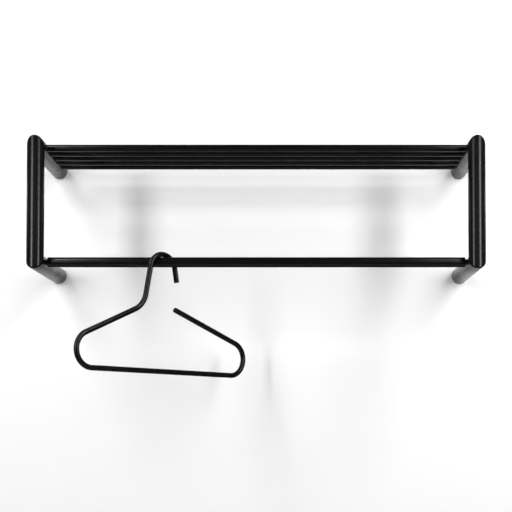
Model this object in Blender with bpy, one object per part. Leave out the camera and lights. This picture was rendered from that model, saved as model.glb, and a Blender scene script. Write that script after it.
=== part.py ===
"""Wall-mounted coat rack of welded round tube: two end frames, a hat shelf of thin rods,
a hanging rail and one bent-wire coat hanger hooked over the rail.

Frame: metres, +X to the right seen from the room, +Y into the wall, +Z up. The origin is on
the wall's surface, in the middle of the four arm ends.
"""
import math

import bmesh
import bpy
from mathutils import Matrix

# Overall sizes
WIDTH = 0.900           # outside face to outside face of the two end frames
DEPTH = 0.250           # wall to the front of the posts
HEIGHT = 0.262          # top of the upper arms to the bottom of the lower arms

# End frames: one size of tube, mitred at the two front corners
TUBE_DIAMETER = 0.034
TUBE_WALL = 0.002

# Hat shelf
ROD_COUNT = 5
ROD_DIAMETER = 0.014
ROD_WALL = 0.0015
ROD_SETBACK = 0.026     # first rod's axis behind the posts' axis
ROD_TO_WALL = 0.051     # last rod's axis to the wall

# Hanging rail: a tube closed by two turned plugs, whose pins carry it between the lower arms
RAIL_DIAMETER = 0.020
RAIL_WALL = 0.0015
RAIL_SETBACK = 0.023    # rail's axis behind the posts' axis
RAIL_REVEAL = 0.0035    # bare pin between the plug's cap and the arm's inner side
PLUG_CAP = 0.002
PLUG_CHAMFER = 0.0007
PLUG_SPIGOT = 0.014     # inside the rail's bore
PIN_DIAMETER = 0.011

# Rods and pins go through holes in the arms' inner walls and are welded there
INSERT = 0.007          # how far a rod's or a pin's end reaches into the arm's bore
GAP = 0.0003            # clearance between pieces that touch

# Wall bosses: turned plugs screwed to the wall, which the arms slide onto
BOSS_FLANGE = 0.0025
BOSS_INSET = 0.0015     # flange's edge inside the arm's outer face
BOSS_SPIGOT = 0.022
BOSS_BORE = 0.0055      # clearance hole for a wall screw
BOSS_SINK_DIAMETER = 0.0104
BOSS_CHAMFER = 0.001

# Set screws: headless, from below, through the arm into a dimple in the boss
SET_SCREW_DIAMETER = 0.005
SET_SCREW_LENGTH = 0.005
SET_SCREW_KEY = 0.0025  # hexagon socket, across its corners
SET_SCREW_SOCKET = 0.002
SET_SCREW_INSET = 0.011  # from the arm's wall end

# Coat hanger: one length of round bar, bent in one plane
WIRE_DIAMETER = 0.0105
HOOK_PLAY = 0.00476         # between the rail and each leg of the hook, across the rail
HOOK_FLARE = math.radians(11.1)
HOOK_TIP_DROP = 0.0375      # hook's free end below the rail's axis
NECK_BEND = 0.044
LEFT_SHOULDER = math.radians(24.7)
RIGHT_SHOULDER = math.radians(19.3)
LEFT_REACH = 0.2007         # hook's middle to the left end loop's outermost point, on the wire's axis
RIGHT_REACH = 0.2181
LOOP_RADIUS = 0.0346
BAR_DROP = 0.2165           # bottom bar below the rail's axis
OPEN_END = 0.031            # right shoulder's free end, right of the hook's middle

# How the hanger hangs at rest
HANGER_X = -0.1851          # hook's middle along the rail
HANGER_TURN = math.radians(45)
HANGER_TILT = math.radians(0.65)

# Fineness of round shapes
TUBE_SIDES = 32
RAIL_SIDES = 24
ROD_SIDES = 20
WIRE_RINGS = 4              # bevel steps on a quarter of the wire's section
ARC_STEP = math.radians(10)
SCREW_SIDES = 12
SHARP_ANGLE = math.radians(35)
CUTTER_OVERRUN = 0.002      # how far a cutter runs past the wall it cuts
MERGE = 0.00001             # points closer than this are one

TUBE_RADIUS = TUBE_DIAMETER / 2
BORE_RADIUS = TUBE_RADIUS - TUBE_WALL
POST_X = WIDTH / 2 - TUBE_RADIUS
POST_Y = -(DEPTH - TUBE_RADIUS)
ARM_Z = HEIGHT / 2 - TUBE_RADIUS
ARM_END_Y = -(BOSS_FLANGE + GAP)
ROD_PITCH = (-POST_Y - ROD_SETBACK - ROD_TO_WALL) / (ROD_COUNT - 1)
RAIL_Y = POST_Y + RAIL_SETBACK
SPAN_END_X = POST_X - BORE_RADIUS + INSERT
PLUG_FACE_X = POST_X - TUBE_RADIUS - RAIL_REVEAL
RAIL_END_X = PLUG_FACE_X - PLUG_CAP - GAP
SET_SCREW_Y = ARM_END_Y - SET_SCREW_INSET
RAIL_TO_WIRE = (RAIL_DIAMETER + WIRE_DIAMETER) / 2
# Half the distance between the hook's legs, in the hanger's plane and level with the rail's axis
HOOK_HALF_SPREAD = (RAIL_TO_WIRE + HOOK_PLAY) / math.sin(HANGER_TURN)
SIDES = {"left": -1, "right": 1}
LEVELS = {"upper": 1, "lower": -1}

# Colour, roughness and metallic value of each finish
FINISHES = {
    "black_powder_coat": ((0.011, 0.011, 0.013), 0.34, 0.0),
    "black_wire_coat": ((0.012, 0.012, 0.014), 0.38, 0.0),
    "black_anodised": ((0.015, 0.015, 0.016), 0.42, 0.6),
    "blackened_steel": ((0.05, 0.05, 0.052), 0.4, 0.9),
}


def clear_scene():
    """Empty the file, so that only this model is left."""
    for item in list(bpy.data.objects):
        bpy.data.objects.remove(item, do_unlink=True)


def material(name, colour, roughness, metallic):
    """A Principled material of one finish."""
    finish = bpy.data.materials.new(name)
    finish.use_nodes = True
    shader = finish.node_tree.nodes["Principled BSDF"]
    shader.inputs["Base Color"].default_value = (*colour, 1)
    shader.inputs["Roughness"].default_value = roughness
    shader.inputs["Metallic"].default_value = metallic
    return finish


def finish_piece(piece, colour_name):
    """Give a piece a material of its own, in one of the four finishes."""
    colour, roughness, metallic = FINISHES[colour_name]
    piece.data.materials.append(material(f"{piece.name}_{colour_name}", colour, roughness, metallic))


def add_mesh(name, bm):
    """Turn a bmesh into an object of the scene, shaded smooth with sharp edges kept."""
    bmesh.ops.recalc_face_normals(bm, faces=bm.faces)
    mesh = bpy.data.meshes.new(name)
    bm.to_mesh(mesh)
    bm.free()
    mesh.shade_smooth()
    mesh.set_sharp_from_angle(angle=SHARP_ANGLE)
    piece = bpy.data.objects.new(name, mesh)
    bpy.context.collection.objects.link(piece)
    return piece


def tube(name, length, radius, wall, sides, start_shear=0.0, end_shear=0.0):
    """A tube along its own +Z, open at both ends. A shear of 1 or -1 mitres an end at 45 degrees."""
    bm = bmesh.new()
    bmesh.ops.create_circle(bm, segments=sides, radius=radius)
    bmesh.ops.create_circle(bm, segments=sides, radius=radius - wall)
    start = bmesh.ops.bridge_loops(bm, edges=bm.edges[:])["faces"]
    start_ring = bm.verts[:]
    end = bmesh.ops.extrude_face_region(bm, geom=start)["geom"]
    end_ring = [item for item in end if isinstance(item, bmesh.types.BMVert)]
    for vert in start_ring:
        vert.co.z = vert.co.y * start_shear
    for vert in end_ring:
        vert.co.z = length + vert.co.y * end_shear
    return add_mesh(name, bm)


def cutter(name, radius, length, sides, matrix):
    """A closed cylinder for a Boolean, along its own Z about its origin, left out of the model."""
    bm = bmesh.new()
    bmesh.ops.create_cone(
        bm, cap_ends=True, segments=sides, radius1=radius, radius2=radius, depth=length
    )
    tool = add_mesh(name, bm)
    tool.matrix_world = matrix
    tool.hide_render = True
    tool.display_type = "WIRE"
    return tool


def cut(piece, tool):
    """Subtract a cutter from a piece."""
    boolean = piece.modifiers.new(tool.name, "BOOLEAN")
    boolean.operation = "DIFFERENCE"
    boolean.solver = "EXACT"
    boolean.object = tool


ALONG_X = Matrix.Rotation(math.radians(90), 4, "Y")
ALONG_Y = Matrix.Rotation(math.radians(-90), 4, "X")


def cut_cross_hole(arm, name, side, y, z, diameter, sides):
    """Drill the arm's inner wall along X for a rod or the rail."""
    length = TUBE_RADIUS + CUTTER_OVERRUN
    centre_x = side * (POST_X - length / 2)
    place = Matrix.Translation((centre_x, y, z)) @ ALONG_X
    cut(arm, cutter(name, diameter / 2 + GAP, length, sides, place))


def set_screw_hole(name, side, z, top, bottom):
    """A cutter for a set screw, upright, between two heights below an arm's axis."""
    centre_z = z - (top + bottom) / 2
    place = Matrix.Translation((side * POST_X, SET_SCREW_Y, centre_z))
    return cutter(name, SET_SCREW_DIAMETER / 2 + GAP, bottom - top, SCREW_SIDES, place)


def build_post(side_name, side):
    """A front post, mitred at both ends."""
    back_off = GAP / 2 * math.sqrt(2)
    post = tube(
        f"{side_name}_front_post",
        2 * (ARM_Z - back_off),
        TUBE_RADIUS,
        TUBE_WALL,
        TUBE_SIDES,
        start_shear=1,
        end_shear=-1,
    )
    post.location = (side * POST_X, POST_Y, -(ARM_Z - back_off))
    finish_piece(post, "black_powder_coat")


def build_arm(side_name, side, level_name, level):
    """An arm from the front corner to the wall, drilled for what it carries and for its set screw."""
    name = f"{side_name}_{level_name}_arm"
    start_y = POST_Y + GAP / 2 * math.sqrt(2)
    arm = tube(
        name,
        ARM_END_Y - start_y,
        TUBE_RADIUS,
        TUBE_WALL,
        TUBE_SIDES,
        start_shear=level,
    )
    arm.location = (side * POST_X, start_y, level * ARM_Z)
    arm.rotation_euler = ALONG_Y.to_euler()
    if level_name == "upper":
        for index, y in enumerate(rod_places(), start=1):
            cut_cross_hole(arm, f"{name}_hole_{index}", side, y, ARM_Z, ROD_DIAMETER, ROD_SIDES)
    else:
        cut_cross_hole(arm, f"{name}_hole", side, RAIL_Y, -ARM_Z, PIN_DIAMETER, ROD_SIDES)
    below = TUBE_RADIUS + CUTTER_OVERRUN
    cut(arm, set_screw_hole(f"{name}_thread", side, level * ARM_Z, 0.0, below))
    finish_piece(arm, "black_powder_coat")


def rod_places():
    """Y of each shelf rod's axis, front to back."""
    return [POST_Y + ROD_SETBACK + ROD_PITCH * index for index in range(ROD_COUNT)]


def build_span(name, end_x, y, z, diameter, wall, sides):
    """A tube along X, centred between the end frames."""
    span = tube(name, 2 * end_x, diameter / 2, wall, sides)
    span.location = (-end_x, y, z)
    span.rotation_euler = ALONG_X.to_euler()
    finish_piece(span, "black_powder_coat")


def turned(name, profile, sides):
    """A piece turned about its own Z from a closed loop of (radius, height) points."""
    bm = bmesh.new()
    section = [bm.verts.new((radius, 0, height)) for radius, height in profile]
    edges = [bm.edges.new((section[i - 1], section[i])) for i in range(len(section))]
    bmesh.ops.spin(
        bm,
        geom=section + edges,
        cent=(0, 0, 0),
        axis=(0, 0, 1),
        angle=math.tau,
        steps=sides,
        use_merge=True,
    )
    bmesh.ops.remove_doubles(bm, verts=bm.verts, dist=MERGE)
    bmesh.ops.dissolve_degenerate(bm, edges=bm.edges, dist=MERGE)
    return add_mesh(name, bm)


def plug_profile():
    """Radius and height of a rail plug's section, from the spigot's inner end to the pin's tip."""
    spigot = RAIL_DIAMETER / 2 - RAIL_WALL - GAP
    cap = RAIL_DIAMETER / 2
    pin = PIN_DIAMETER / 2
    face = PLUG_CAP
    tip = face + SPAN_END_X - PLUG_FACE_X
    return [
        (0.0, -PLUG_SPIGOT),
        (spigot, -PLUG_SPIGOT),
        (spigot, 0.0),
        (cap, 0.0),
        (cap, face - PLUG_CHAMFER),
        (cap - PLUG_CHAMFER, face),
        (pin, face),
        (pin, tip),
        (0.0, tip),
    ]


def build_rail_plug(side_name, side):
    """A turned plug that closes the rail's end, with a pin that goes into the lower arm."""
    plug = turned(f"{side_name}_rail_plug", plug_profile(), RAIL_SIDES)
    plug.location = (side * (PLUG_FACE_X - PLUG_CAP), RAIL_Y, -ARM_Z)
    plug.rotation_euler = (0, side * math.radians(90), 0)
    finish_piece(plug, "black_powder_coat")


def boss_profile():
    """Radius and height of the boss's section, from the wall up to the spigot's end, as a closed loop."""
    flange = TUBE_RADIUS - BOSS_INSET
    spigot = BORE_RADIUS - GAP
    bore = BOSS_BORE / 2
    sink = BOSS_SINK_DIAMETER / 2
    top = BOSS_FLANGE + BOSS_SPIGOT
    return [
        (bore, 0.0),
        (flange, 0.0),
        (flange, BOSS_FLANGE),
        (spigot, BOSS_FLANGE),
        (spigot, top - BOSS_CHAMFER),
        (spigot - BOSS_CHAMFER, top),
        (sink, top),
        (bore, top - (sink - bore)),
    ]


def build_boss(side_name, side, level_name, level):
    """A turned boss: a flange on the wall, a spigot in the arm and a countersunk hole."""
    name = f"{side_name}_{level_name}_wall_boss"
    boss = turned(name, boss_profile(), TUBE_SIDES)
    boss.location = (side * POST_X, 0, level * ARM_Z)
    boss.rotation_euler = (math.radians(90), 0, 0)
    tip = TUBE_RADIUS - SET_SCREW_LENGTH - GAP
    cut(boss, set_screw_hole(f"{name}_dimple", side, level * ARM_Z, tip, TUBE_RADIUS))
    finish_piece(boss, "black_anodised")


def build_set_screw(side_name, side, level_name, level):
    """A headless screw with a hexagon socket, flush with the underside of the arm."""
    name = f"{side_name}_{level_name}_set_screw"
    bm = bmesh.new()
    bmesh.ops.create_cone(
        bm,
        cap_ends=True,
        segments=SCREW_SIDES,
        radius1=SET_SCREW_DIAMETER / 2,
        radius2=SET_SCREW_DIAMETER / 2,
        depth=SET_SCREW_LENGTH,
    )
    screw = add_mesh(name, bm)
    bottom = level * ARM_Z - TUBE_RADIUS
    screw.location = (side * POST_X, SET_SCREW_Y, bottom + SET_SCREW_LENGTH / 2)
    socket_place = Matrix.Translation((side * POST_X, SET_SCREW_Y, bottom))
    key = cutter(f"{name}_socket", SET_SCREW_KEY / 2, 2 * SET_SCREW_SOCKET, 6, socket_place)
    cut(screw, key)
    finish_piece(screw, "blackened_steel")


def arc(centre, radius, start, end):
    """Points on an arc in the hanger's plane, both ends included, from one angle to another."""
    steps = max(2, round(abs(end - start) / ARC_STEP))
    angles = [start + (end - start) * step / steps for step in range(steps + 1)]
    return [(centre[0] + radius * math.cos(a), centre[1] + radius * math.sin(a)) for a in angles]


def hanger_outline():
    """The wire's axis, from the hook's free end to the right shoulder's free end.

    Points are (right, up) in the hanger's own plane, from the rail's axis.
    """
    flare = HOOK_FLARE
    top = RAIL_TO_WIRE + GAP
    # The hook's arch rests on the rail and runs straight into both flared legs.
    hook_radius = (HOOK_HALF_SPREAD * math.cos(flare) - top * math.sin(flare)) / (1 - math.sin(flare))
    hook_centre = (0.0, top - hook_radius)
    hook_end = (HOOK_HALF_SPREAD + HOOK_TIP_DROP * math.tan(flare), -HOOK_TIP_DROP)
    arch = arc(hook_centre, hook_radius, flare, math.pi - flare)

    # End loops stand on the bottom bar.
    loop_z = LOOP_RADIUS - BAR_DROP
    left_centre = (LOOP_RADIUS - LEFT_REACH, loop_z)
    right_centre = (RIGHT_REACH - LOOP_RADIUS, loop_z)
    left_loop = arc(left_centre, LOOP_RADIUS, math.pi / 2 + LEFT_SHOULDER, math.pi * 1.5)
    right_loop = arc(right_centre, LOOP_RADIUS, -math.pi / 2, math.pi / 2 - RIGHT_SHOULDER)

    # The neck's bend touches the front leg and the left shoulder on their upper left side.
    leg_x = -HOOK_HALF_SPREAD - NECK_BEND / math.cos(flare)
    shoulder_x, shoulder_z = left_loop[0]
    rise = math.tan(LEFT_SHOULDER)
    base_z = shoulder_z - shoulder_x * rise + NECK_BEND / math.cos(LEFT_SHOULDER)
    bend_z = (base_z + leg_x * rise) / (1 - math.tan(flare) * rise)
    bend_centre = (leg_x + bend_z * math.tan(flare), bend_z)
    neck = arc(bend_centre, NECK_BEND, -flare, LEFT_SHOULDER - math.pi / 2)

    last_x, last_z = right_loop[-1]
    open_end = (OPEN_END, last_z + (last_x - OPEN_END) * math.tan(RIGHT_SHOULDER))
    return [hook_end, *arch, *neck, *left_loop, *right_loop, open_end]


def build_hanger():
    """The coat hanger, with its origin on the rail's axis, along which it slides."""
    outline = hanger_outline()
    curve = bpy.data.curves.new("coat_hanger", "CURVE")
    curve.dimensions = "3D"
    curve.bevel_depth = WIRE_DIAMETER / 2
    curve.bevel_resolution = WIRE_RINGS
    curve.use_fill_caps = True
    spline = curve.splines.new("POLY")
    spline.points.add(len(outline) - 1)
    for point, (right, up) in zip(spline.points, outline):
        point.co = (right, 0, up, 1)
    hanger = bpy.data.objects.new("coat_hanger", curve)
    hanger.location = (HANGER_X, RAIL_Y, -ARM_Z)
    hanger.rotation_euler = (0, HANGER_TILT, HANGER_TURN)
    bpy.context.collection.objects.link(hanger)
    finish_piece(hanger, "black_wire_coat")


def main():
    """Build every piece."""
    clear_scene()
    for side_name, side in SIDES.items():
        build_post(side_name, side)
        build_rail_plug(side_name, side)
        for level_name, level in LEVELS.items():
            build_arm(side_name, side, level_name, level)
            build_boss(side_name, side, level_name, level)
            build_set_screw(side_name, side, level_name, level)
    for index, y in enumerate(rod_places(), start=1):
        build_span(f"shelf_rod_{index}", SPAN_END_X, y, ARM_Z, ROD_DIAMETER, ROD_WALL, ROD_SIDES)
    build_span("hanging_rail", RAIL_END_X, RAIL_Y, -ARM_Z, RAIL_DIAMETER, RAIL_WALL, RAIL_SIDES)
    build_hanger()


main()
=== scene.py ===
"""Looks of the wall-mounted coat rack: mitred tube end frames, a hat shelf of rods, a hanging
rail on turned plugs and a coat hanger bent from one bar, all in black powder coat.

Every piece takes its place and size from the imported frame. Metres, +Z up, the wall at Y = 0.
"""
import math

import bmesh
import bpy
from mathutils import Euler, Matrix, Vector


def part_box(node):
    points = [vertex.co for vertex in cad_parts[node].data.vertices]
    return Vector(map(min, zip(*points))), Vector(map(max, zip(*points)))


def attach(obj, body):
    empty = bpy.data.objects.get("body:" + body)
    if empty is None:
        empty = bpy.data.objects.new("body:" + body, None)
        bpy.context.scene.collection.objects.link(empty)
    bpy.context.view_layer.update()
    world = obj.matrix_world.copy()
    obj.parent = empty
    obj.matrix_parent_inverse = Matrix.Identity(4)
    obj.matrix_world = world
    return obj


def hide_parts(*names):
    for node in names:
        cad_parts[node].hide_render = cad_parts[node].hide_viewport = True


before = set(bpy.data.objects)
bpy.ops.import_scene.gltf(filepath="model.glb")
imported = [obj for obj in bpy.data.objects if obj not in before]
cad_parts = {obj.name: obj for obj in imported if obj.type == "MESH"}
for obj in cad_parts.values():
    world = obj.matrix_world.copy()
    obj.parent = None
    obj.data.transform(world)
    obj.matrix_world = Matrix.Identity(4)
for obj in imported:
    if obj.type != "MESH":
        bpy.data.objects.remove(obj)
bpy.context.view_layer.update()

SIDES = {"left": -1, "right": 1}
LEVELS = {"upper": 1, "lower": -1}
ROD_COUNT = 5
MERGE = 1e-6

# ---------------------------------------------------------------- sizes read from the frame


def middle(node):
    """The middle of a node's box."""
    low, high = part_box(node)
    return (Vector(low) + Vector(high)) / 2


def extent(node):
    """A node's size along X, Y and Z."""
    low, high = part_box(node)
    return Vector(high) - Vector(low)


TUBE_RADIUS = extent("right_front_post").x / 2
POST_X = middle("right_front_post").x
POST_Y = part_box("right_front_post")[0][1] + TUBE_RADIUS
ARM_Z = middle("right_upper_arm").z
ARM_END_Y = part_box("right_upper_arm")[1][1]
ROD_RADIUS = extent("shelf_rod_1").z / 2
RAIL_RADIUS = extent("hanging_rail").z / 2
RAIL = middle("hanging_rail")
PLUG_START_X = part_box("right_rail_plug")[0][0]
BOSS_RADIUS = extent("right_upper_wall_boss").x / 2
BOSS_DEPTH = extent("right_upper_wall_boss").y
SCREW_RADIUS = extent("right_upper_set_screw").x / 2
SCREW_LENGTH = extent("right_upper_set_screw").z

# Sizes that the frame's boxes don't show
TUBE_WALL = 0.002
ROD_WALL = 0.0015
EMBED = 0.0018          # how far a welded end goes into the arm's wall
SEAM = 0.00005          # hairline left between two pieces that meet
CREASE = 0.0030         # dressed rounding of the mitred corners
RIM = 0.0004            # broken edge of a cut tube
PIN_RADIUS = 0.0055
PIN_LENGTH = 0.0035     # bare pin between a plug's cap and the arm
PIN_ROOT = 0.0003       # small fillet where the pin leaves the cap
PLUG_FACE_X = POST_X - TUBE_RADIUS - PIN_LENGTH
PLUG_CAP = 0.002
PLUG_EDGE = 0.0007
WELD_LEG = 0.0012       # fillet round a rod's end
PIN_WELD_LEG = 0.0007
WELD_SINK = 0.0003      # how far a weld reaches into what it joins
RIPPLE = 0.00006        # height of a weld's ripples
RIPPLE_PITCH = 0.0011
BOSS_FLANGE = 0.0025
BOSS_BORE = 0.0055 / 2
BOSS_SINK = 0.0104 / 2
BOSS_EDGE = 0.0004
BOSS_FIT = 0.0002       # gap between the spigot and the arm's bore
BOSS_LEAD = 0.001       # lead-in chamfer of the spigot
BOSS_GROOVE = 0.0004    # relief groove behind the flange
SCREW_KEY = 0.0025 / 2
SCREW_SOCKET = 0.002
SCREW_CHAMFER = 0.0004

# Coat hanger, in its own plane
BAR_RADIUS = 0.0105 / 2
HANGER_X = -0.1851
HANGER_TURN = math.radians(45)
HANGER_TILT = math.radians(0.65)
HOOK_HALF_SPREAD = 0.0283
HOOK_FLARE = math.radians(11.1)
HOOK_TIP_DROP = 0.0375
HOOK_CLEARANCE = 0.0003
NECK_BEND = 0.044
LEFT_SHOULDER = math.radians(24.7)
RIGHT_SHOULDER = math.radians(19.3)
LEFT_REACH = 0.2007
RIGHT_REACH = 0.2181
LOOP_RADIUS = 0.0346
BAR_DROP = 0.2165
OPEN_END = 0.031
BAR_END_ROUND = 0.0011  # rounding of the bar's two cut ends

# Fineness
TUBE_SIDES = 96
ROD_SIDES = 56
WELD_SIDES = 112
RAIL_SIDES = 72
BAR_SIDES = 48
PLUG_SIDES = 72
SCREW_SIDES = 48
CREASE_STEPS = 9
EDGE_STEPS = 3          # across a broken rim
WELD_STEPS = 6
BAR_END_STEPS = 6
BEND_STEP = math.radians(2.5)
SHARP_ANGLE = math.radians(32)

QUARTER_TURN = math.radians(90)
FACING_X = Matrix.Rotation(QUARTER_TURN, 4, "Y")
FACING_FRONT = Matrix.Rotation(QUARTER_TURN, 4, "X")

# Finishes
COAT_GLARE = 0.23       # specular level of the powder coat
COAT_PEEL = 420.0       # orange peel, per metre
COAT_GRAIN = 2600.0
CLOUD_TO_PEEL = 0.045   # the clouds of gloss are this much coarser than the peel
RELIEF = 0.00002        # depth of the coat's and the boss's relief
RUB_WANDER = 0.002      # how far the edge of the polished band wanders
RUB_FADE = 0.002
RUB_POLISH = 0.82
STREAK_SCALE = 60.0
LATHE_RINGS = 9000.0    # radians of the turned pattern per metre of radius
BOSS_HAZE = 700.0
BOSS_TONES = (0.010, 0.010, 0.011), (0.022, 0.022, 0.024)
SCREW_BLOOM = 1400.0
SCREW_TONES = (0.035, 0.035, 0.037), (0.060, 0.053, 0.047)
SCREW_RELIEF = 0.00003
FRAME_TONES = (0.0016, 0.0017, 0.0024), (0.0030, 0.0032, 0.0044)
ROD_TONES = (0.0010, 0.0010, 0.0012), (0.0022, 0.0022, 0.0026)
WELD_TONES = (0.0022, 0.0023, 0.0030), (0.0040, 0.0042, 0.0052)
HANGER_TONES = (0.0013, 0.0013, 0.0015), (0.0026, 0.0026, 0.0029)

# ---------------------------------------------------------------- finishes


def new_group(name, inputs, outputs):
    """A shader node group with named sockets, given as (name, socket type, default)."""
    group = bpy.data.node_groups.new(name, "ShaderNodeTree")
    for socket, kind, value in inputs:
        made = group.interface.new_socket(socket, in_out="INPUT", socket_type=kind)
        made.default_value = value
    for socket, kind in outputs:
        group.interface.new_socket(socket, in_out="OUTPUT", socket_type=kind)
    return group


def node(tree, kind, **settings):
    """A new node with its own settings."""
    made = tree.nodes.new(kind)
    for name, value in settings.items():
        setattr(made, name, value)
    return made


def feed(tree, socket, value):
    """Link a socket into another, or set a number, or a colour without its alpha."""
    if isinstance(value, bpy.types.NodeSocket):
        tree.links.new(value, socket)
    elif isinstance(value, tuple):
        socket.default_value = (*value, 1)
    else:
        socket.default_value = value


def noise(tree, place, scale, detail, roughness):
    """Fine noise on the surface, as a value round one half."""
    made = node(tree, "ShaderNodeTexNoise")
    made.inputs["Detail"].default_value = detail
    made.inputs["Roughness"].default_value = roughness
    tree.links.new(place, made.inputs["Vector"])
    feed(tree, made.inputs["Scale"], scale)
    return made.outputs["Fac"]


def axes(tree, place):
    """The X, Y and Z outputs of a position."""
    split = node(tree, "ShaderNodeSeparateXYZ")
    tree.links.new(place, split.inputs["Vector"])
    return split.outputs


def math_node(tree, operation, first, second=0.0):
    """A Math node of two inputs, each a socket or a number."""
    made = node(tree, "ShaderNodeMath", operation=operation)
    for socket, value in zip(made.inputs, (first, second)):
        feed(tree, socket, value)
    return made.outputs[0]


def remap(tree, value, low, high, to_low, to_high):
    """A value carried smoothly from one range to another."""
    made = node(tree, "ShaderNodeMapRange", interpolation_type="SMOOTHSTEP")
    names = ("Value", "From Min", "From Max", "To Min", "To Max")
    for name, number in zip(names, (value, low, high, to_low, to_high)):
        feed(tree, made.inputs[name], number)
    return made.outputs["Result"]


def mix_colours(tree, factor, first, second):
    """A colour between two others, each a socket or a colour."""
    made = node(tree, "ShaderNodeMix", data_type="RGBA")
    tree.links.new(factor, made.inputs["Factor"])
    feed(tree, made.inputs["A"], first)
    feed(tree, made.inputs["B"], second)
    return made.outputs["Result"]


def choose_shader(tree, factor, first, second, output):
    """The first shader where the factor is nought, the second where it is one."""
    choice = node(tree, "ShaderNodeMixShader")
    tree.links.new(factor, choice.inputs["Fac"])
    tree.links.new(first, choice.inputs[1])
    tree.links.new(second, choice.inputs[2])
    tree.links.new(choice.outputs["Shader"], tree.nodes[output].inputs["Surface"])


def round_arms(tree, place):
    """Distance from the nearest arm's axis, at any depth."""
    split = axes(tree, place)
    squares = []
    for socket, centre in (("X", POST_X), ("Z", ARM_Z)):
        size = math_node(tree, "ABSOLUTE", split[socket])
        away = math_node(tree, "SUBTRACT", size, centre)
        squares.append(math_node(tree, "MULTIPLY", away, away))
    return math_node(tree, "POWER", math_node(tree, "ADD", *squares), 0.5)


def build_powder_group():
    """Powder coat: slow orange peel, fine grain and clouds of gloss."""
    group = new_group(
        "powder_coat",
        [
            ("Place", "NodeSocketVector", (0, 0, 0)),
            ("Peel Scale", "NodeSocketFloat", COAT_PEEL),
            ("Grain Scale", "NodeSocketFloat", COAT_GRAIN),
            ("Dark", "NodeSocketColor", (0.0045, 0.0045, 0.0053, 1)),
            ("Light", "NodeSocketColor", (0.0075, 0.0075, 0.0088, 1)),
            ("Smooth", "NodeSocketFloat", 0.24),
            ("Rough", "NodeSocketFloat", 0.34),
        ],
        [
            ("Color", "NodeSocketColor"),
            ("Roughness", "NodeSocketFloat"),
            ("Height", "NodeSocketFloat"),
        ],
    )
    source = node(group, "NodeGroupInput").outputs
    result = node(group, "NodeGroupOutput").inputs
    place = source["Place"]
    peel = noise(group, place, source["Peel Scale"], 2.0, 0.45)
    grain = noise(group, place, source["Grain Scale"], 3.0, 0.6)
    cloud_scale = math_node(group, "MULTIPLY", source["Peel Scale"], CLOUD_TO_PEEL)
    cloud = noise(group, place, cloud_scale, 3.0, 0.55)

    fleck = remap(group, grain, 0.3, 0.75, 0.0, 1.0)
    colour = mix_colours(group, fleck, source["Dark"], source["Light"])
    group.links.new(colour, result["Color"])

    slow_gloss = math_node(group, "MULTIPLY", cloud, 0.7)
    fine_gloss = math_node(group, "MULTIPLY", grain, 0.3)
    gloss = math_node(group, "ADD", slow_gloss, fine_gloss)
    roughness = remap(group, gloss, 0.3, 0.7, source["Smooth"], source["Rough"])
    group.links.new(roughness, result["Roughness"])

    height = math_node(group, "ADD", peel, math_node(group, "MULTIPLY", grain, 0.22))
    group.links.new(height, result["Height"])
    return group


def start_material(name, metallic, specular, ior):
    """An empty material with its Principled shader, and the object's own coordinates."""
    finish = bpy.data.materials.new(name)
    finish.use_nodes = True
    tree = finish.node_tree
    shader = tree.nodes["Principled BSDF"]
    shader.inputs["Metallic"].default_value = metallic
    shader.inputs["Specular IOR Level"].default_value = specular
    shader.inputs["IOR"].default_value = ior
    place = node(tree, "ShaderNodeTexCoord").outputs["Object"]
    return finish, tree, shader, place


def add_bump(tree, shader, height, strength, distance):
    """Relief from a height, in metres."""
    bump = node(tree, "ShaderNodeBump")
    bump.inputs["Strength"].default_value = strength
    bump.inputs["Distance"].default_value = distance
    tree.links.new(height, bump.inputs["Height"])
    tree.links.new(bump.outputs["Normal"], shader.inputs["Normal"])


def powder_material(name, group, smooth, rough, relief, tones, rub_height=None):
    """Black powder coat. Above rub_height hanger hooks have polished the coat a little."""
    finish, tree, shader, place = start_material(name, 0.0, COAT_GLARE, 1.45)
    coat = node(tree, "ShaderNodeGroup", node_tree=group)
    values = {"Smooth": smooth, "Rough": rough, "Dark": tones[0], "Light": tones[1]}
    for socket, value in values.items():
        feed(tree, coat.inputs[socket], value)
    tree.links.new(place, coat.inputs["Place"])
    tree.links.new(coat.outputs["Color"], shader.inputs["Base Color"])
    roughness = coat.outputs["Roughness"]
    if rub_height is not None:
        streak = noise(tree, place, STREAK_SCALE, 2.0, 0.5)
        edge = math_node(tree, "MULTIPLY", math_node(tree, "SUBTRACT", streak, 0.5), RUB_WANDER)
        level = math_node(tree, "ADD", axes(tree, place)["Z"], edge)
        polish = remap(tree, level, rub_height, rub_height + RUB_FADE, 1.0, RUB_POLISH)
        roughness = math_node(tree, "MULTIPLY", roughness, polish)
    tree.links.new(roughness, shader.inputs["Roughness"])
    add_bump(tree, shader, coat.outputs["Height"], relief, RELIEF)
    return finish


def anodised_material():
    """Black anodised aluminium with fine lathe rings about each boss's own axis."""
    finish, tree, shader, place = start_material("boss_anodised", 0.75, 0.5, 1.45)
    turns = math_node(tree, "MULTIPLY", round_arms(tree, place), LATHE_RINGS)
    rings = math_node(tree, "SINE", turns)
    haze = noise(tree, place, BOSS_HAZE, 4.0, 0.5)
    tree.links.new(mix_colours(tree, haze, *BOSS_TONES), shader.inputs["Base Color"])
    tree.links.new(remap(tree, haze, 0.3, 0.7, 0.30, 0.44), shader.inputs["Roughness"])
    add_bump(tree, shader, rings, 0.25, RELIEF)
    return finish


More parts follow.
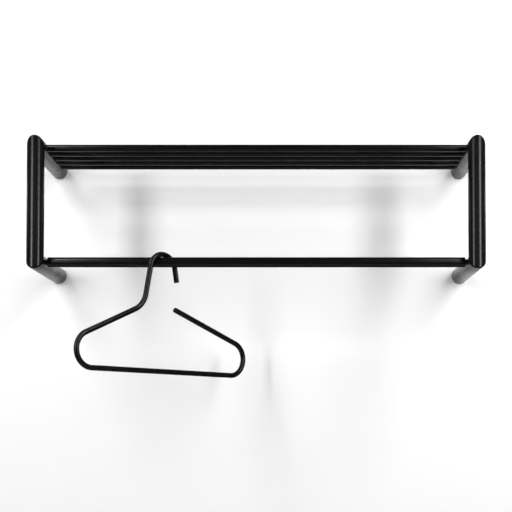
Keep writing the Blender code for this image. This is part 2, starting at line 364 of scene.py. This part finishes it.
def steel_material():
    """Blackened steel with a thin brown bloom."""
    finish, tree, shader, place = start_material("set_screw_steel", 0.9, 0.5, 1.45)
    bloom = noise(tree, place, SCREW_BLOOM, 5.0, 0.5)
    tree.links.new(mix_colours(tree, bloom, *SCREW_TONES), shader.inputs["Base Color"])
    tree.links.new(remap(tree, bloom, 0.3, 0.7, 0.34, 0.5), shader.inputs["Roughness"])
    add_bump(tree, shader, bloom, 0.2, SCREW_RELIEF)
    return finish


# Name, coat, smoothest and roughest gloss, relief, dark and light tone
powder = build_powder_group()
FRAME_COAT = powder_material("frame_powder_coat", powder, 0.25, 0.31, 0.35, FRAME_TONES)
ROD_COAT = powder_material("rod_powder_coat", powder, 0.20, 0.26, 0.3, ROD_TONES)
RUBBED_FROM = RAIL.z + 0.8 * RAIL_RADIUS
RAIL_COAT = powder_material("rail_powder_coat", powder, 0.20, 0.26, 0.3, ROD_TONES, RUBBED_FROM)
WELD_COAT = powder_material("weld_powder_coat", powder, 0.34, 0.42, 0.5, WELD_TONES)
HANGER_COAT = powder_material("hanger_powder_coat", powder, 0.22, 0.30, 0.35, HANGER_TONES)
BOSS_FINISH = anodised_material()
SCREW_FINISH = steel_material()

# ---------------------------------------------------------------- making pieces


def placed_object(name, bm, finish):
    """An object at the origin, made of a bmesh that already stands in its place."""
    mesh = bpy.data.meshes.new(name)
    bm.to_mesh(mesh)
    bm.free()
    mesh.materials.append(finish)
    made = bpy.data.objects.new(name, mesh)
    bpy.context.collection.objects.link(made)
    return made


def add_piece(name, bm, finish, slot, body, *replaced):
    """Turn a bmesh into a finished piece that rides on a body."""
    bmesh.ops.remove_doubles(bm, verts=bm.verts, dist=MERGE)
    bmesh.ops.recalc_face_normals(bm, faces=bm.faces)
    piece = placed_object(name, bm, finish)
    piece.data.shade_smooth()
    piece.data.set_sharp_from_angle(angle=SHARP_ANGLE)
    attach(piece, body)
    if replaced:
        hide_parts(*replaced)
    return piece


def rings_of(geom):
    """The vertices and edges among what an operator returned."""
    verts = [item for item in geom if isinstance(item, bmesh.types.BMVert)]
    edges = [item for item in geom if isinstance(item, bmesh.types.BMEdge)]
    return verts, edges


def push_on(bm, edges, place):
    """Extrude a ring of edges; place gives each new vertex's position from its old one."""
    verts, fresh = rings_of(bmesh.ops.extrude_edge_only(bm, edges=edges)["geom"])
    for vert in verts:
        vert.co = place(vert.co)
    return fresh


def turned(profile, sides):
    """A bmesh turned about its own Z from a closed loop of (radius, height) points."""
    bm = bmesh.new()
    section = [bm.verts.new((radius, 0, height)) for radius, height in profile]
    edges = [bm.edges.new((section[i - 1], section[i])) for i in range(len(section))]
    bmesh.ops.spin(
        bm,
        geom=section + edges,
        cent=(0, 0, 0),
        axis=(0, 0, 1),
        angle=math.tau,
        steps=sides,
        use_merge=True,
    )
    bmesh.ops.remove_doubles(bm, verts=bm.verts, dist=MERGE)
    bmesh.ops.dissolve_degenerate(bm, edges=bm.edges, dist=MERGE)
    return bm


def arc(centre, radius, start, end, steps):
    """Points on an arc, both ends included."""
    angles = [start + (end - start) * step / steps for step in range(steps + 1)]
    return [(centre[0] + radius * math.cos(a), centre[1] + radius * math.sin(a)) for a in angles]


def bevel_edges(bm, edges, offset, segments):
    """Round edges off."""
    bmesh.ops.bevel(
        bm,
        geom=edges,
        offset=offset,
        offset_type="OFFSET",
        affect="EDGES",
        segments=segments,
        profile=0.5,
        material=-1,
        clamp_overlap=False,
    )


# ---------------------------------------------------------------- end frames


def frame_shell(side):
    """The outer skin of one end frame: upper arm, post and lower arm in one run of tube.

    The mitred corners are rounded here, so that the pieces cut from it share their curve.
    """
    bm = bmesh.new()
    place = Matrix.Translation((side * POST_X, ARM_END_Y, ARM_Z)) @ FACING_FRONT
    bmesh.ops.create_circle(bm, segments=TUBE_SIDES, radius=TUBE_RADIUS, matrix=place)
    ring = bm.edges[:]
    ring = push_on(bm, ring, lambda co: Vector((co.x, POST_Y + ARM_Z - co.z, co.z)))
    top = ring
    ring = push_on(bm, ring, lambda co: Vector((co.x, co.y, co.y - POST_Y - ARM_Z)))
    bottom = ring
    push_on(bm, ring, lambda co: Vector((co.x, ARM_END_Y, co.z)))
    bevel_edges(bm, top + bottom, CREASE, CREASE_STEPS)
    bmesh.ops.recalc_face_normals(bm, faces=bm.faces)
    return bm


def keep_one_side(bm, point, normal):
    """Cut a shell by a plane and drop what lies on the normal's side."""
    bmesh.ops.bisect_plane(
        bm,
        geom=bm.verts[:] + bm.edges[:] + bm.faces[:],
        dist=MERGE,
        plane_co=point,
        plane_no=normal,
        clear_outer=True,
    )


def mitre(side, level, towards):
    """A point of a corner's mitre plane, and its normal towards the post or the arm."""
    normal = Vector((0, -1, -level)).normalized()
    if towards == "arm":
        normal = -normal
    point = Vector((side * POST_X, POST_Y, level * ARM_Z)) - normal * SEAM
    return point, normal


def thicken(bm):
    """Give an open run of tube its wall, inwards."""
    bmesh.ops.recalc_face_normals(bm, faces=bm.faces)
    bmesh.ops.solidify(bm, geom=bm.faces[:], thickness=TUBE_WALL)


def build_post(side_name, side):
    """The front post, between the two mitres."""
    bm = frame_shell(side)
    for level in LEVELS.values():
        keep_one_side(bm, *mitre(side, level, "arm"))
    thicken(bm)
    name = f"{side_name}_front_post"
    add_piece(f"{name}_tube", bm, FRAME_COAT, "frame_coat", "rack", name)


def build_arm(side_name, side, level_name, level):
    """An arm from the mitre to the wall, its cut end broken inside and out."""
    bm = frame_shell(side)
    keep_one_side(bm, *mitre(side, level, "post"))
    keep_one_side(bm, Vector((0, 0, 0)), Vector((0, 0, -level)))
    thicken(bm)
    rims = [
        edge
        for edge in bm.edges
        if all(abs(vert.co.y - ARM_END_Y) < MERGE for vert in edge.verts)
        and len(edge.link_faces) == 2
        and edge.calc_face_angle(0) > SHARP_ANGLE
    ]
    bevel_edges(bm, rims, RIM, EDGE_STEPS)
    name = f"{side_name}_{level_name}_arm"
    add_piece(f"{name}_tube", bm, FRAME_COAT, "frame_coat", "rack", name)


# ---------------------------------------------------------------- shelf rods and rail


def tube_along_x(end_x, y, z, radius, wall, sides):
    """A hollow tube centred on X = 0, its rims broken."""
    bm = bmesh.new()
    place = Matrix.Translation((-end_x, y, z)) @ FACING_X
    for size in (radius, radius - wall):
        bmesh.ops.create_circle(bm, segments=sides, radius=size, matrix=place)
    start = bmesh.ops.bridge_loops(bm, edges=bm.edges[:])["faces"]
    end = bmesh.ops.extrude_face_region(bm, geom=start)["geom"]
    verts, _ = rings_of(end)
    bmesh.ops.translate(bm, verts=verts, vec=(2 * end_x, 0, 0))
    bmesh.ops.recalc_face_normals(bm, faces=bm.faces)
    rims = [
        edge
        for edge in bm.edges
        if abs(edge.verts[0].co.x - edge.verts[1].co.x) < MERGE
        and edge.calc_face_angle(0) > SHARP_ANGLE
    ]
    bevel_edges(bm, rims, min(RIM, wall / 4), EDGE_STEPS)
    return bm


def build_rod(index):
    """A shelf rod, its ends sunk in the arms' walls."""
    name = f"shelf_rod_{index}"
    centre = middle(name)
    end_x = POST_X - TUBE_RADIUS + EMBED
    bm = tube_along_x(end_x, centre.y, centre.z, ROD_RADIUS, ROD_WALL, ROD_SIDES)
    add_piece(f"{name}_tube", bm, ROD_COAT, "rod_coat", "rack", name)


def build_rail():
    """The hanging rail, from plug to plug."""
    end_x = PLUG_FACE_X - PLUG_CAP - SEAM
    bm = tube_along_x(end_x, RAIL.y, RAIL.z, RAIL_RADIUS, ROD_WALL, RAIL_SIDES)
    add_piece("hanging_rail_tube", bm, RAIL_COAT, "rod_coat", "rack", "hanging_rail")


def build_plug(side_name, side):
    """A turned plug: a spigot in the rail, a cap with a rounded edge and a pin into the arm."""
    spigot = RAIL_RADIUS - ROD_WALL - SEAM
    spigot_end = -(PLUG_FACE_X - PLUG_CAP - PLUG_START_X)
    tip = PLUG_CAP + POST_X - TUBE_RADIUS + EMBED - PLUG_FACE_X
    cap_edge = (RAIL_RADIUS - PLUG_EDGE, PLUG_CAP - PLUG_EDGE)
    pin_root = (PIN_RADIUS + PIN_ROOT, PLUG_CAP + PIN_ROOT)
    profile = [
        (0.0, spigot_end),
        (spigot - PLUG_EDGE, spigot_end),
        (spigot, spigot_end + PLUG_EDGE),
        (spigot, 0.0),
        (RAIL_RADIUS - RIM / 2, 0.0),
        (RAIL_RADIUS, RIM / 2),
        *arc(cap_edge, PLUG_EDGE, 0.0, math.pi / 2, 6),
        *reversed(arc(pin_root, PIN_ROOT, math.pi, math.pi * 1.5, 4)),
        (PIN_RADIUS, tip),
        (0.0, tip),
    ]
    bm = turned(profile, PLUG_SIDES)
    place = Matrix.Translation((side * (PLUG_FACE_X - PLUG_CAP), RAIL.y, RAIL.z))
    turn = Matrix.Rotation(side * QUARTER_TURN, 4, "Y")
    bmesh.ops.transform(bm, matrix=place @ turn, verts=bm.verts)
    name = f"{side_name}_rail_plug"
    add_piece(f"{name}_turned", bm, ROD_COAT, "rod_coat", "rack", name)


def build_weld(name, side, y, z, radius, leg):
    """A fillet of weld round a rod's or a pin's end, pressed onto the arm's round side."""
    slopes = [math.pi / 2 * step / WELD_STEPS for step in range(WELD_STEPS + 1)]
    fillet = [
        (radius + leg * (1 - math.sin(slope)), leg * (1 - math.cos(slope))) for slope in slopes
    ]
    root = radius - WELD_SINK
    profile = [(root, leg), *reversed(fillet), (radius + leg, -WELD_SINK), (root, -WELD_SINK)]
    bm = turned(profile, WELD_SIDES)
    turn_count = round(math.tau * radius / RIPPLE_PITCH)
    for vert in bm.verts:
        away = math.hypot(vert.co.x, vert.co.y)
        angle = math.atan2(vert.co.y, vert.co.x)
        height = vert.co.z
        if height > 0 and away > radius:
            height += RIPPLE * math.sin(turn_count * angle)
        rise = away * math.sin(angle)
        reach = math.sqrt(TUBE_RADIUS**2 - rise**2) + height
        vert.co = Vector((side * (POST_X - reach), y + away * math.cos(angle), z + rise))
    add_piece(name, bm, WELD_COAT, "frame_coat", "rack")


# ---------------------------------------------------------------- bosses and set screws


def build_boss(side_name, side, level_name, level):
    """A turned wall boss: flange, spigot with a lead-in chamfer, countersunk bore."""
    spigot = TUBE_RADIUS - TUBE_WALL - BOSS_FIT
    rim = BOSS_RADIUS - BOSS_EDGE
    profile = [
        (BOSS_BORE + BOSS_EDGE, 0.0),
        *arc((rim, BOSS_EDGE), BOSS_EDGE, -math.pi / 2, 0.0, 4),
        *arc((rim, BOSS_FLANGE - BOSS_EDGE), BOSS_EDGE, 0.0, math.pi / 2, 4),
        (spigot - BOSS_GROOVE, BOSS_FLANGE),
        (spigot - BOSS_GROOVE, BOSS_FLANGE + BOSS_GROOVE * 2),
        (spigot, BOSS_FLANGE + BOSS_GROOVE * 3),
        (spigot, BOSS_DEPTH - BOSS_LEAD),
        (spigot - BOSS_LEAD, BOSS_DEPTH),
        (BOSS_SINK, BOSS_DEPTH),
        (BOSS_BORE, BOSS_DEPTH - (BOSS_SINK - BOSS_BORE)),
        (BOSS_BORE, BOSS_EDGE),
    ]
    bm = turned(profile, TUBE_SIDES)
    place = Matrix.Translation((side * POST_X, 0, level * ARM_Z)) @ FACING_FRONT
    bmesh.ops.transform(bm, matrix=place, verts=bm.verts)
    name = f"{side_name}_{level_name}_wall_boss"
    add_piece(f"{name}_turned", bm, BOSS_FINISH, "boss_finish", "rack", name)


def build_set_screw(side_name, level_name):
    """A headless set screw, seen from below: chamfered rim and a hexagon socket."""
    name = f"{side_name}_{level_name}_set_screw"
    centre = middle(name)
    bottom = centre.z - SCREW_LENGTH / 2
    bm = bmesh.new()
    flat = SCREW_RADIUS - SCREW_CHAMFER
    base = Matrix.Translation((centre.x, centre.y, bottom))
    bmesh.ops.create_circle(bm, segments=6, radius=SCREW_KEY, matrix=base)
    key = bm.edges[:]
    bmesh.ops.create_circle(bm, segments=SCREW_SIDES, radius=flat, matrix=base)
    rim = [edge for edge in bm.edges if edge not in key]
    bmesh.ops.triangle_fill(bm, edges=bm.edges[:], use_beauty=True)
    socket = push_on(bm, key, lambda co: co + Vector((0, 0, SCREW_SOCKET)))
    bmesh.ops.contextual_create(bm, geom=socket)

    def widened(co, radius, lift):
        """A point of the rim, carried out to a radius and up by a lift."""
        out = Vector((co.x - centre.x, co.y - centre.y, 0)).normalized() * radius
        return Vector((centre.x + out.x, centre.y + out.y, co.z + lift))

    straight = SCREW_LENGTH - 2 * SCREW_CHAMFER
    wall = push_on(bm, rim, lambda co: widened(co, SCREW_RADIUS, SCREW_CHAMFER))
    wall = push_on(bm, wall, lambda co: widened(co, SCREW_RADIUS, straight))
    wall = push_on(bm, wall, lambda co: widened(co, flat, SCREW_CHAMFER))
    bmesh.ops.contextual_create(bm, geom=wall)
    add_piece(f"{name}_steel", bm, SCREW_FINISH, "set_screw_finish", "rack", name)


# ---------------------------------------------------------------- coat hanger


def hanger_bends():
    """The bar's bends as (centre, radius, start angle, end angle), and its two free ends.

    Points are (right, up) in the hanger's own plane, from the rail's axis. The bar runs from the
    hook's free end over the rail, down the neck, round both end loops to the right shoulder.
    """
    flare = HOOK_FLARE
    top = RAIL_RADIUS + BAR_RADIUS + HOOK_CLEARANCE
    narrowed = HOOK_HALF_SPREAD * math.cos(flare) - top * math.sin(flare)
    hook_radius = narrowed / (1 - math.sin(flare))
    hook = ((0.0, top - hook_radius), hook_radius, flare, math.pi - flare)
    hook_end = (HOOK_HALF_SPREAD + HOOK_TIP_DROP * math.tan(flare), -HOOK_TIP_DROP)

    up = math.pi / 2
    loop_z = LOOP_RADIUS - BAR_DROP
    left = ((LOOP_RADIUS - LEFT_REACH, loop_z), LOOP_RADIUS, up + LEFT_SHOULDER, up * 3)
    right = ((RIGHT_REACH - LOOP_RADIUS, loop_z), LOOP_RADIUS, -up, up - RIGHT_SHOULDER)

    leg_x = -HOOK_HALF_SPREAD - NECK_BEND / math.cos(flare)
    shoulder_x, shoulder_z = on_arc(left, left[2])
    rise = math.tan(LEFT_SHOULDER)
    base_z = shoulder_z - shoulder_x * rise + NECK_BEND / math.cos(LEFT_SHOULDER)
    bend_z = (base_z + leg_x * rise) / (1 - math.tan(flare) * rise)
    neck = ((leg_x + bend_z * math.tan(flare), bend_z), NECK_BEND, -flare, LEFT_SHOULDER - up)

    last_x, last_z = on_arc(right, right[3])
    open_end = (OPEN_END, last_z + (last_x - OPEN_END) * math.tan(RIGHT_SHOULDER))
    return hook_end, [hook, neck, left, right], open_end


def on_arc(bend, angle):
    """A point of a bend's axis at an angle."""
    centre, radius = bend[0], bend[1]
    return centre[0] + radius * math.cos(angle), centre[1] + radius * math.sin(angle)


def build_hanger():
    """One round bar: straight runs and bends in turn, its cut ends slightly rounded."""
    start, bends, end = hanger_bends()

    def at(point):
        """A point of the hanger's plane, in the bar's own X and Z."""
        return Vector((point[0], 0.0, point[1]))

    bm = bmesh.new()
    first = at(on_arc(bends[0], bends[0][2]))
    along = (first - at(start)).normalized()
    turn = along.to_track_quat("Z", "Y").to_matrix().to_4x4()
    cut = Matrix.Translation(at(start)) @ turn
    bmesh.ops.create_circle(bm, cap_ends=True, segments=BAR_SIDES, radius=BAR_RADIUS, matrix=cut)
    ring = bm.edges[:]
    here = at(start)
    for bend in bends:
        entry = at(on_arc(bend, bend[2]))
        step = entry - here
        ring = push_on(bm, ring, lambda co: co + step)
        turned_by = bend[3] - bend[2]
        verts = {vert for edge in ring for vert in edge.verts}
        spun = bmesh.ops.spin(
            bm,
            geom=list(verts) + ring,
            cent=at(bend[0]),
            axis=(0, -1, 0),
            angle=turned_by,
            steps=max(4, round(abs(turned_by) / BEND_STEP)),
            use_merge=False,
        )
        _, ring = rings_of(spun["geom_last"])
        here = at(on_arc(bend, bend[3]))
    step = at(end) - here
    ring = push_on(bm, ring, lambda co: co + step)
    bmesh.ops.contextual_create(bm, geom=ring)
    bmesh.ops.recalc_face_normals(bm, faces=bm.faces)
    caps = [face for face in bm.faces if len(face.verts) == BAR_SIDES]
    rims = [edge for cap in caps for edge in cap.edges]
    bevel_edges(bm, rims, BAR_END_ROUND, BAR_END_STEPS)
    place = Matrix.Translation((HANGER_X, RAIL.y, RAIL.z))
    tilt = Euler((0, HANGER_TILT, HANGER_TURN)).to_matrix().to_4x4()
    bmesh.ops.transform(bm, matrix=place @ tilt, verts=bm.verts)
    add_piece("coat_hanger_bar", bm, HANGER_COAT, "hanger_coat", "hanger", "coat_hanger")


# ---------------------------------------------------------------- stage, camera and light

WALL_WIDTH = 3.6
WALL_HEIGHT = 3.0
WALL_GAP = 0.0002                   # the wall stands this far behind the bosses
WALL_COLOUR = (0.72, 0.72, 0.72)
PAINTED_REFLECTION_DIM = 0.12               # painted reflection: the share of the wall's colour that glossy rays see, away from the arms' ends and the shelf strip
ARM_END_REACH = 0.06, 0.13          # painted reflection at the wall's full colour, then dimmed, this far from an arm's axis
# Strip just under the shelf where the painted reflection keeps the wall's full colour
SHELF_STRIP_Z = ARM_Z - 0.03
SHELF_STRIP_REACH = 0.03, 0.05
FLOOR_COLOUR = (0.62, 0.62, 0.61)
FLOOR_Z = -1.5
FLOOR_DEPTH = 4.0
CAMERA_PLACE = (0.0600, -2.4322, -0.4340)
CAMERA_PITCH = math.radians(1.83)
CAMERA_LENS = 79.29
CAMERA_SHIFT = (-0.0601, 0.2580)
CAMERA_SENSOR = 36.0
ROOM_TINT = (0.9, 0.95, 1.0)
ROOM_LIGHT = 0.06
# Name, place, what it looks at, width, height and power
SOFTBOXES = (
    ("softbox_left", (-1.31, -1.40, 0.12), (-0.2, 0, 0), 0.24, 0.9, 20),
    ("softbox_right", (1.135, -1.195, 0.12), (0.2, 0, 0), 0.26, 0.9, 18),
    ("top_light_left", (-1.63, -1.5, 1.7), (0, 0, 0), 0.5, 1.2, 42),
    ("top_light_right", (1.63, -1.5, 1.7), (0, 0, 0), 0.5, 1.2, 42),
    ("front_light", (0, -3.6, 0.5), (0, 0, 0), 4.5, 1.0, 7),
)


def painted_reflection_mask(tree):
    """Mask of the painted reflection: one round the arms' ends and in a strip just under the
    shelf, where glossy rays see the wall's full colour, and nought elsewhere.
    """
    place = node(tree, "ShaderNodeNewGeometry").outputs["Position"]
    ends = remap(tree, round_arms(tree, place), *ARM_END_REACH, 1.0, 0.0)
    drop = math_node(tree, "SUBTRACT", axes(tree, place)["Z"], SHELF_STRIP_Z)
    strip = remap(tree, math_node(tree, "ABSOLUTE", drop), *SHELF_STRIP_REACH, 1.0, 0.0)
    return math_node(tree, "MAXIMUM", ends, strip)


def matt_paint(name, colour, roughness):
    """A matt paint of the stage."""
    finish, tree, shader, _ = start_material(name, 0.0, 0.1, 1.5)
    shader.inputs["Base Color"].default_value = (*colour, 1)
    shader.inputs["Roughness"].default_value = roughness
    return finish, tree, shader


def wall_material():
    """White wall paint, clear from behind, with a painted reflection: for glossy rays its colour
    is painted darker, except round the arms' ends and under the shelf.
    """
    finish, tree, shader = matt_paint("wall_paint", WALL_COLOUR, 0.9)
    # Painted reflection: for glossy rays the wall's colour is dimmed, except round the arms'
    # ends and under the shelf
    dim = tuple(PAINTED_REFLECTION_DIM * part for part in WALL_COLOUR)
    reflected = mix_colours(tree, painted_reflection_mask(tree), dim, WALL_COLOUR)
    bounce = node(tree, "ShaderNodeLightPath").outputs["Is Glossy Ray"]
    seen = mix_colours(tree, bounce, WALL_COLOUR, reflected)
    tree.links.new(seen, shader.inputs["Base Color"])
    clear = node(tree, "ShaderNodeBsdfTransparent").outputs["BSDF"]
    behind = node(tree, "ShaderNodeNewGeometry").outputs["Backfacing"]
    choose_shader(tree, behind, shader.outputs["BSDF"], clear, "Material Output")
    return finish


def stage_plane(name, matrix, width, height, finish):
    """A rectangle of the stage, its face along its own +Z."""
    bm = bmesh.new()
    bmesh.ops.create_grid(bm, x_segments=1, y_segments=1, size=0.5)
    bmesh.ops.scale(bm, vec=(width, height, 1), verts=bm.verts)
    bmesh.ops.transform(bm, matrix=matrix, verts=bm.verts)
    placed_object(name, bm, finish)


def build_stage():
    """A white wall behind the rack and a pale floor well below it."""
    wall = Matrix.Translation((0, WALL_GAP, 0)) @ FACING_FRONT
    stage_plane("wall", wall, WALL_WIDTH, WALL_HEIGHT, wall_material())
    floor = Matrix.Translation((0, 0, FLOOR_Z))
    floor_paint, _, _ = matt_paint("floor_paint", FLOOR_COLOUR, 0.8)
    stage_plane("floor", floor, WALL_WIDTH, FLOOR_DEPTH, floor_paint)


def build_camera():
    """The camera, in front of the rack, below it and a little right of its middle."""
    data = bpy.data.cameras.new("camera")
    data.lens = CAMERA_LENS
    data.sensor_width = CAMERA_SENSOR
    data.shift_x, data.shift_y = CAMERA_SHIFT
    data.clip_end = 50.0
    camera = bpy.data.objects.new("camera", data)
    camera.location = CAMERA_PLACE
    camera.rotation_euler = (QUARTER_TURN + CAMERA_PITCH, 0, 0)
    bpy.context.collection.objects.link(camera)
    bpy.context.scene.camera = camera


def softbox(name, place, target, width, height, power):
    """A rectangular light that the camera itself doesn't see."""
    data = bpy.data.lights.new(name, "AREA")
    data.shape = "RECTANGLE"
    data.size = width
    data.size_y = height
    data.energy = power
    lamp = bpy.data.objects.new(name, data)
    lamp.location = place
    aim = Vector(target) - Vector(place)
    lamp.rotation_euler = aim.to_track_quat("-Z", "Y").to_euler()
    lamp.visible_camera = False
    bpy.context.collection.objects.link(lamp)


def build_light():
    """Tall softboxes left, right and high up, a soft front light and a dim room."""
    for settings in SOFTBOXES:
        softbox(*settings)
    world = bpy.data.worlds.new("room")
    world.use_nodes = True
    tree = world.node_tree
    room = tree.nodes["Background"]
    room.inputs["Color"].default_value = (*ROOM_TINT, 1)
    room.inputs["Strength"].default_value = ROOM_LIGHT
    white = node(tree, "ShaderNodeBackground")
    white.inputs["Color"].default_value = (1, 1, 1, 1)
    seen = node(tree, "ShaderNodeLightPath").outputs["Is Camera Ray"]
    choose_shader(
        tree, seen, room.outputs["Background"], white.outputs["Background"], "World Output"
    )
    bpy.context.scene.world = world
    bpy.context.scene.view_settings.view_transform = "Standard"


def main():
    """Build every piece, the stage, the camera and the light."""
    for side_name, side in SIDES.items():
        build_post(side_name, side)
        for level_name, level in LEVELS.items():
            build_arm(side_name, side, level_name, level)
            build_boss(side_name, side, level_name, level)
            build_set_screw(side_name, level_name)
        for index in range(1, ROD_COUNT + 1):
            rod = middle(f"shelf_rod_{index}")
            build_weld(f"{side_name}_rod_{index}_weld", side, rod.y, rod.z, ROD_RADIUS, WELD_LEG)
        build_plug(side_name, side)
        build_weld(f"{side_name}_pin_weld", side, RAIL.y, RAIL.z, PIN_RADIUS, PIN_WELD_LEG)
    for index in range(1, ROD_COUNT + 1):
        build_rod(index)
    build_rail()
    build_hanger()
    build_stage()
    build_camera()
    build_light()


main()
